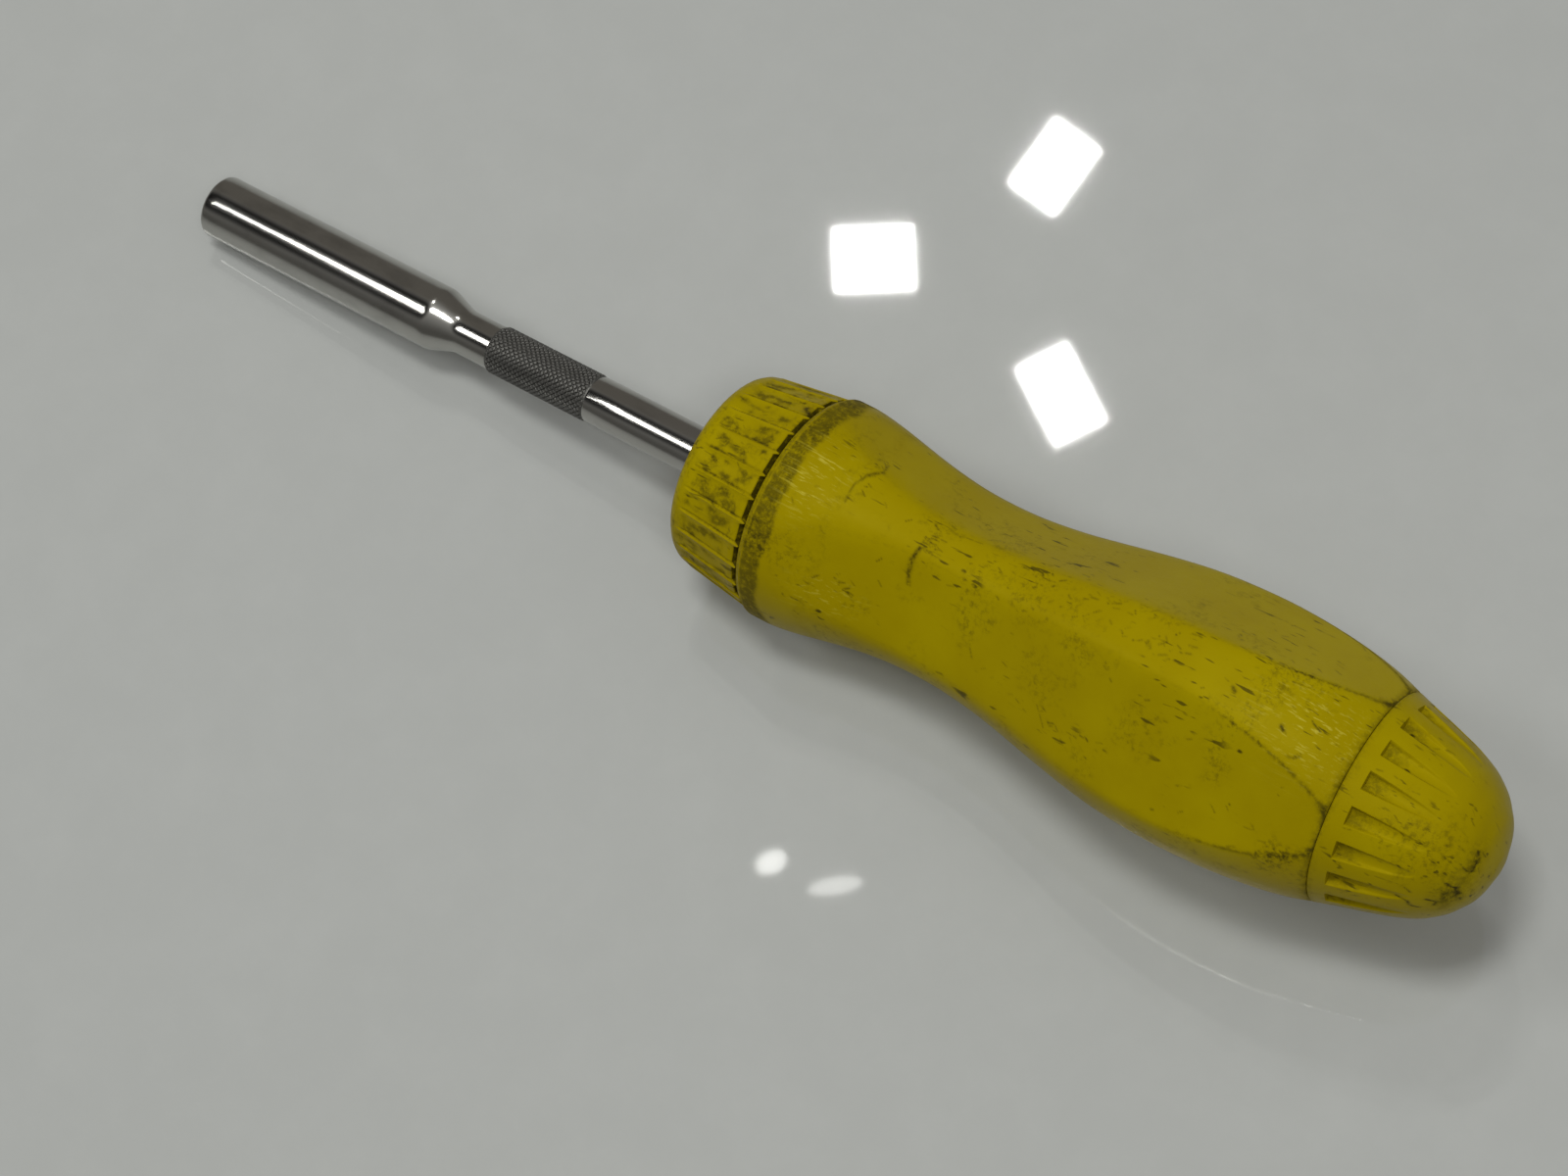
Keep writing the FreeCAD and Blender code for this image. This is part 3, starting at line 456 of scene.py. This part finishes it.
def cap():
    n = 1080
    degrees = np.arange(n) * 360.0 / n
    outer = np.concatenate([[201.95, 202.1], np.arange(202.5, 204.2, 0.4), [204.22, 204.3, 204.36],
                            np.arange(204.6, 217, 0.22), np.arange(217.1, 221.8, 0.16)])
    base = curve(outer, CAP)
    base[0] -= 0.12
    pitch = 360.0 / CAP_FLUTES
    away = np.abs((degrees + pitch / 2) % pitch - pitch / 2)
    side = np.radians(away)[None, :] * base[:, None]
    run = np.clip((outer - 204.3) / 10.4, 0, 1)[:, None]
    half = 1.25 * (1 - run) ** 0.42 + 0.02
    depth = 1.10 * (1 - run) ** 0.95 * (outer[:, None] > 204.28)
    inside = 1 - smooth(side, half - 0.18, half + 0.18)
    bowl = np.sqrt(1 - np.clip(0.85 * side / half, 0, 1) ** 2)
    rr = base[:, None] - depth * bowl * inside
    crown_x = np.linspace(221.85, 222.0, 4)[:3]
    crown_r = np.array([1.9, 1.5, 0.8])
    spigot_x = np.arange(195.4, 201.7, 0.15)
    ridge = thread_height(spigot_x[:, None], degrees[None, :], 0.38, 0.36)
    turn_at = (spigot_x[:, None] - 196.2) / THREAD_LEAD
    ridge = ridge * (turn_at > 0.05) * (turn_at < 0.95)
    spigot_r = 12.2 + 0.60 * ridge
    first = [(212.0, 0.0), (212.0, 8.0), (207.0, 10.8), (195.2, 10.8), (195.2, 12.0)]
    xs1, r1 = ring_rows(first, n)
    xs2, r2 = ring_rows([(201.9, 12.2), (201.9, base[0] - 0.05)], n)
    xs4, r4 = ring_rows(list(zip(crown_x, crown_r)) + [(222.0, 0.0)], n)
    xs = np.concatenate([xs1, spigot_x, xs2, outer, xs4])
    rr = np.concatenate([r1, spigot_r, r2, rr, r4])
    x2 = outer[:, None]
    a2 = degrees[None, :]
    grime_and_shade = 0.35 * (1 - smooth(x2, 202.0, 203.0))
    grime_and_shade = grime_and_shade + 0.55 * inside * smooth(x2, 204.2, 204.4) * (1 - smooth(x2, 205.6, 209.0))
    grime_and_shade = grime_and_shade + 0.85 * around(a2, 158, 20) * np.exp(-((x2 - 218.6) / 1.5) ** 2)
    grime_and_shade = grime_and_shade + 0.70 * around(a2, 118, 26) * np.exp(-((x2 - 219.9) / 0.8) ** 2)
    mark = np.zeros_like(grime_and_shade)
    for x0, a0, x1, a1, width, strength in CAP_CUTS:
        mark = np.maximum(mark, strength * stroke(x2, a2, x0, a0, x1, a1, width))
    mark = np.maximum(mark, 0.8 * scattered_cuts(x2, a2, 90, (202.5, 220)))

    def padded(values):
        front = np.zeros((len(xs1) + len(spigot_x) + len(xs2), n))
        back = np.repeat(values[-1:], len(xs4), axis=0)
        return np.concatenate([front, values, back])
    return skin("cap_skin", xs, rr, 35.0, {
        "grime_and_shade": padded(np.clip(grime_and_shade, 0, 1)), "wear_and_sheen": padded(0 * grime_and_shade), "mark": padded(mark)})


# ------------------------------------------------------------------ selector collar
COLLAR_FLUTES = 28


def collar():
    n = 1120
    degrees = np.arange(n) * 360.0 / n
    outline = [(96.8, 12.2), (96.9, 12.95), (97.2, 13.75), (97.7, 14.35), (98.4, 14.78), (99.6, 15.1),
               (102.0, 15.43), (105.0, 15.84), (108.0, 16.26), (110.5, 16.6)]
    outer = np.concatenate([np.linspace(96.8, 99.6, 14), np.arange(99.8, 110.3, 0.22), [110.38, 110.48]])
    base = np.interp(outer, [c[0] for c in outline], [c[1] for c in outline])
    base[-1] -= 0.10
    pitch = 360.0 / COLLAR_FLUTES
    u = (degrees % pitch) / pitch * 2 - 1
    hollow = 1 - np.abs(u) ** 3.5
    depth = 0.30 * smooth(outer, 98.6, 101.0) + 0.14 * smooth(outer, 109.2, 110.4)
    # a fine groove runs beside each ridge
    groove = np.exp(-((u - 0.80) / 0.09) ** 2)[None, :] * (0.16 * smooth(outer, 98.8, 100.0))[:, None]
    rr = base[:, None] - depth[:, None] * hollow[None, :] - groove
    # the rear edge is scalloped, one bite to each flute, and slopes down into the gap
    tail = 0.85 * smooth(outer, 107.6, 110.48)[:, None] * smooth(hollow, 0.10, 0.60)[None, :]
    px = outer[:, None] - tail
    first = [(99.6, 12.8), (99.6, 4.2), (96.8, 4.2), (96.8, 9.0)]
    last = [(110.5, 14.6), (110.5, 12.8), (99.6, 12.8)]
    xs1, r1 = ring_rows(first, n)
    xs3, r3 = ring_rows(last, n)
    # one more row just inside the edge starts the painted shade on the slope into the gap
    xs = np.concatenate([np.repeat(xs1[:, None], n, 1), px, px[-1:] + 0.02, np.repeat(xs3[:, None], n, 1)])
    rr = np.concatenate([r1, rr, rr[-1:] - 0.08, r3])
    x2 = outer[:, None]
    flat = smooth(hollow, 0.3, 0.8)[None, :]
    smudge = np.zeros((len(outer), n))
    for _ in range(520):
        middle = rng.uniform(100.0, 108.5)
        place = rng.uniform(0, 360)
        stretch = rng.uniform(0.3, 1.6)
        blot = np.exp(-((x2 - middle) / stretch) ** 2) * around(degrees, place, 1.8)
        smudge += rng.uniform(0.3, 0.9) * blot
    grime_and_shade = 0.75 * np.clip(smudge, 0, 1) * flat
    grime_and_shade = grime_and_shade + 0.55 * np.exp(-((u - 0.80) / 0.12) ** 2)[None, :] * smooth(x2, 98.8, 100.5)
    grime_and_shade = grime_and_shade + 0.20 * np.exp(-((x2 - 98.2) / 0.8) ** 2)
    mark = 0.95 * stroke(x2, degrees[None, :], 108.9, 57, 110.4, 60, 0.55)
    mark = np.maximum(mark, scattered_cuts(x2, degrees[None, :], 110, (98, 109)))

    def padded(values, fill):
        front = np.full((len(first), n), 0.15)
        back = np.full((1 + len(xs3), n), fill)
        return np.concatenate([front, values, back])
    # the slope into the gap and the inner rows get the full dark value: painted shade of the gap between
    # collar and handle
    return skin("collar_skin", xs, rr, 32.0, {
        "grime_and_shade": padded(np.clip(grime_and_shade, 0, 1), 1.0), "wear_and_sheen": padded(0 * grime_and_shade, 0.0),
        "mark": padded(mark, 0.0)})


# ------------------------------------------------------------------ shank
KNURL_GROOVES = 26
KNURL_PITCH = 0.90


def hex_radius(degrees, flats):
    from_flat = degrees % 60.0 - 30.0
    return flats / 2 / np.cos(np.radians(from_flat))


def shank_barrel():
    """Barrel, taper and neck, with the hex socket."""
    n = 240
    degrees = np.arange(n) * 360.0 / n
    hexagon = hex_radius(degrees, 6.4)
    outer = [(0.0, 4.62), (0.08, 4.82), (0.25, 4.95), (0.5, 5.0), (2.0, 5.0), (22.0, 5.0), (43.0, 5.0),
             (43.5, 4.99), (44.0, 4.93), (44.5, 4.78), (45.2, 4.54), (47.6, 3.72), (48.3, 3.54),
             (48.8, 3.47), (49.5, 3.45), (52.0, 3.45), (54.85, 3.45)]
    xo, ro = ring_rows(outer, n)
    back_x, back_r = ring_rows([(54.9, 3.45), (54.9, 0.0)], n)
    mouth = np.stack([np.maximum(hexagon, 3.95), np.maximum(hexagon, 3.6), hexagon, hexagon,
                      np.full(n, 3.1), np.full(n, 3.1), np.zeros(n)])
    mouth_x = np.array([0.0, 0.3, 0.75, 10.0, 10.0, 13.0, 13.0])
    xs = np.concatenate([mouth_x[::-1], xo, back_x])
    rr = np.concatenate([mouth[::-1], ro, back_r])
    return skin("shank_barrel", xs, rr, 28.0)


def shank_knurl():
    n = 450
    degrees = np.arange(n) * 360.0 / n
    outer = np.arange(55.0, 73.15, 0.06)
    turn = degrees[None, :] / 360.0 * KNURL_GROOVES
    slide = outer[:, None] / KNURL_PITCH
    one = np.abs(((turn + slide) % 1.0) * 2 - 1)
    two = np.abs(((turn - slide) % 1.0) * 2 - 1)
    height = np.minimum(1.35 * np.minimum(1 - one, 1 - two) * 2, 1.0)
    rr = 3.50 + 0.24 * height
    fade = (smooth(outer, 54.95, 55.4) * (1 - smooth(outer, 72.7, 73.15)))[:, None]
    rr = 3.46 + (rr - 3.46) * fade
    xa, ra = ring_rows([(54.9, 0.0), (54.9, 3.45)], n)
    xb, rb = ring_rows([(73.2, 3.46), (73.2, 0.0)], n)
    return skin("shank_knurl", np.concatenate([xa, outer, xb]), np.concatenate([ra, rr, rb]), 25.0)


def shank_rear():
    n = 160
    outline = [(73.2, 0.0), (73.2, 3.5), (73.3, 3.6), (73.5, 3.65), (80.0, 3.65), (90.0, 3.65), (100.0, 3.65),
               (134.3, 3.65), (134.3, 3.0), (135.2, 3.0), (135.2, 3.65), (137.4, 3.65), (138.0, 3.1),
               (138.0, 0.0)]
    xs, rr = ring_rows(outline, n)
    return skin("shank_rear", xs, rr, 30.0)


# ------------------------------------------------------------------ put the tool together
plastic = yellow_plastic("worn_yellow")
collar_plastic = yellow_plastic("worn_yellow_collar", 0.9)
polished = steel("polished_steel", (0.47, 0.462, 0.435), 0.09, 0.2, 0.3, 0.35)
turned = steel("turned_steel", (0.46, 0.45, 0.425), 0.11, 0.5, 0.15, 0.4)
knurled = steel("knurled_steel", (0.165, 0.162, 0.153), 0.45, 0.0, 0.3)
inner_steel = steel("inner_steel", (0.42, 0.42, 0.42), 0.3, 0.6, 0.4)
dark_steel = steel("dark_steel", (0.30, 0.30, 0.31), 0.34, 0.2, 0.4)
bit_steel = steel("bit_steel", (0.36, 0.36, 0.37), 0.3, 0.1, 0.5)
black = plain("black_plastic", (0.02, 0.02, 0.02), 0.5)
rubber = plain("black_rubber", (0.015, 0.015, 0.015), 0.6)

parts = [
    (handle(), "handle", "grip_handle", "yellow_plastic", plastic),
    (cap(), "end_cap", "end_cap", "cap_plastic", plastic),
    (collar(), "selector", "selector_collar", "collar_plastic", collar_plastic),
    (shank_barrel(), "shank", "shank", "polished_steel", polished),
    (shank_knurl(), "shank", None, "polished_steel", knurled),
    (shank_rear(), "shank", None, "polished_steel", turned)]
for obj, body, cad_node, slot_name, mat in parts:
    obj.data.materials.append(mat)
    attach(obj, body)
    if cad_node:
        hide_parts(cad_node)

finishes = {
    "ratchet_housing": inner_steel, "cover_plate": inner_steel, "cover_screws": inner_steel,
    "pawl_pins": inner_steel, "pawl_springs": dark_steel, "detent_ball": polished,
    "detent_spring": dark_steel, "thrust_washer": inner_steel, "bit_carrier": black,
    "phillips_bit": bit_steel, "slotted_bit": bit_steel, "torx_bit": bit_steel, "square_bit": bit_steel,
    "hex_bit": bit_steel, "cam_ring": inner_steel, "socket_magnet": inner_steel, "ratchet_gear": dark_steel,
    "rear_retaining_clip": dark_steel, "pawl_left": dark_steel, "pawl_right": dark_steel,
    "cap_o_ring": rubber}
for cad_node, mat in finishes.items():
    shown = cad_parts[cad_node]
    shown.data.materials.clear()
    shown.data.materials.append(mat)

# ------------------------------------------------------------------ table top
# The tool lies on the open end of its barrel and on the flange, so the table leans against its axis.
TIP_LOW = Vector((-0.111, 0.0, 0.0139))
FLANGE_LOW = Vector((0.0005, 0.0, 0.0018))
run = (FLANGE_LOW - TIP_LOW).normalized()
normal = run.cross(Vector((0, 1, 0)))
table_turn = Vector((0, 0, 1)).rotation_difference(normal)


def table_point(x, y):
    """Point on the table, x and y measured along it from under the flange."""
    return FLANGE_LOW + table_turn @ Vector((x, y, 0.0))


def table_material():
    """Pale glossy table top with faint dust and a few dark specks."""
    mat, tree, shader = material("glossy_table")
    here = object_coords(tree)
    dust = noise(tree, here, 90, 6, 0.7)
    colour = mix(tree, ramp(tree, dust, 0.3, 0.8), (0.500, 0.515, 0.505), (0.520, 0.535, 0.525))
    specks = tree.nodes.new("ShaderNodeTexVoronoi")
    specks.inputs["Scale"].default_value = 34
    link(tree, here, specks.inputs["Vector"])
    dot = ramp(tree, specks.outputs["Distance"], 0.012, 0.03, True)
    dot = maths(tree, "MULTIPLY", dot, ramp(tree, noise(tree, here, 21, 2), 0.56, 0.6))
    colour = mix(tree, dot, colour, (0.12, 0.12, 0.12))
    link(tree, colour, shader.inputs["Base Color"])
    shader.inputs["Roughness"].default_value = 0.025
    shader.inputs["IOR"].default_value = 1.47
    return mat


TABLE_HALF = 0.45
corners = [table_point(sx * TABLE_HALF, sy * TABLE_HALF) for sx, sy in ((-1, -1), (1, -1), (1, 1), (-1, 1))]
mesh = bpy.data.meshes.new("table_top")
mesh.from_pydata([tuple(c) for c in corners], [], [(0, 1, 2, 3)])
table = bpy.data.objects.new("table_top", mesh)
bpy.context.scene.collection.objects.link(table)
table.data.materials.append(table_material())

# ------------------------------------------------------------------ camera
cam_data = bpy.data.cameras.new("camera")
cam = bpy.data.objects.new("camera", cam_data)
bpy.context.scene.collection.objects.link(cam)
cam_data.sensor_width = 36.0
cam_data.lens = 80.1
cam_data.clip_start = 0.01
cam_data.clip_end = 50.0
cam.location = (0.1971, -0.13704, 0.45481)
cam.rotation_euler = (math.radians(25.374), math.radians(11.755), math.radians(33.807))
bpy.context.scene.camera = cam

# ------------------------------------------------------------------ light
scene = bpy.context.scene
scene.view_settings.view_transform = "Standard"
scene.view_settings.look = "None"
scene.view_settings.exposure = 0.0

world = bpy.data.worlds.new("room")
scene.world = world
world.use_nodes = True
tree = world.node_tree
background = tree.nodes["Background"]
coord = tree.nodes.new("ShaderNodeTexCoord")


def facing(direction):
    """Cosine between the looked-at direction and a fixed one."""
    made = tree.nodes.new("ShaderNodeVectorMath")
    made.operation = "DOT_PRODUCT"
    made.inputs[1].default_value = Vector(direction).normalized()
    link(tree, coord.outputs["Generated"], made.inputs[0])
    return made.outputs["Value"]


LINE_WAY = Vector((-0.55, -0.235, 0.80))        # the way to the lamp that draws the line along the shank
overhead = ramp(tree, facing((-0.1, 0.5, 0.85)), -0.3, 0.9)
ceiling = mix(tree, overhead, (0.11, 0.107, 0.10), (0.37, 0.367, 0.357))
far_side = ramp(tree, facing((-0.35, 0.80, 0.48)), 0.62, 0.90)
brownish = mix(tree, far_side, ceiling, (0.15, 0.14, 0.125))
person = ramp(tree, facing(LINE_WAY), 0.80, 0.95)
sky = mix(tree, person, brownish, (0.008, 0.008, 0.008))
link(tree, sky, background.inputs["Color"])
background.inputs["Strength"].default_value = 1.0


def panel(name, place, aim_at, width, depth, turn, power, shape="RECTANGLE"):
    """Flat lamp that looks at a point."""
    data = bpy.data.lights.new(name, "AREA")
    data.shape = shape
    data.size = width
    data.size_y = depth
    data.energy = power
    data.color = (1.0, 1.0, 0.97)
    lamp = bpy.data.objects.new(name, data)
    scene.collection.objects.link(lamp)
    lamp.location = place
    lamp.rotation_mode = "QUATERNION"
    aim = (Vector(aim_at) - Vector(place)).to_track_quat("-Z", "Y")
    lamp.rotation_quaternion = aim @ Matrix.Rotation(math.radians(turn), 3, "Z").to_quaternion()


# overhead lamp that lights the tool
panel("key", (0.07, -0.05, 1.25), (0.02, 0.0, 0.0), 0.28, 0.20, 0, 4.7)
# two lamps beyond the ends of the tool lighten its shadow
for side in (-1, 1):
    panel("fill", (0.60 * side, -0.32, 1.0), (0.0, 0.0, 0.0), 0.30, 0.20, 0, 1.7)
# narrow lamp that draws the bright line along the shank
shank_middle = Vector((-0.07, 0.0, 0.02))
panel("line", shank_middle + 1.3 * LINE_WAY, shank_middle, 0.014, 0.40, 22, 0.42)
# ceiling lamps that show as patches in the table
panel("panel_a", (-0.345, 0.777, 1.64), (0.0, 0.07, 0.0), 0.037, 0.053, -30, 0.7)
panel("panel_b", (-0.411, 0.656, 1.64), (0.0, 0.07, 0.0), 0.053, 0.042, 0, 0.7)
panel("panel_c", (-0.256, 0.640, 1.64), (0.0, 0.07, 0.0), 0.037, 0.057, 35, 0.7)
panel("panel_d", (-0.244, 0.275, 1.64), (0.0, -0.04, 0.0), 0.020, 0.014, 20, 0.010, "ELLIPSE")
panel("panel_e", (-0.202, 0.284, 1.64), (0.0, -0.04, 0.0), 0.034, 0.011, 10, 0.008, "ELLIPSE")
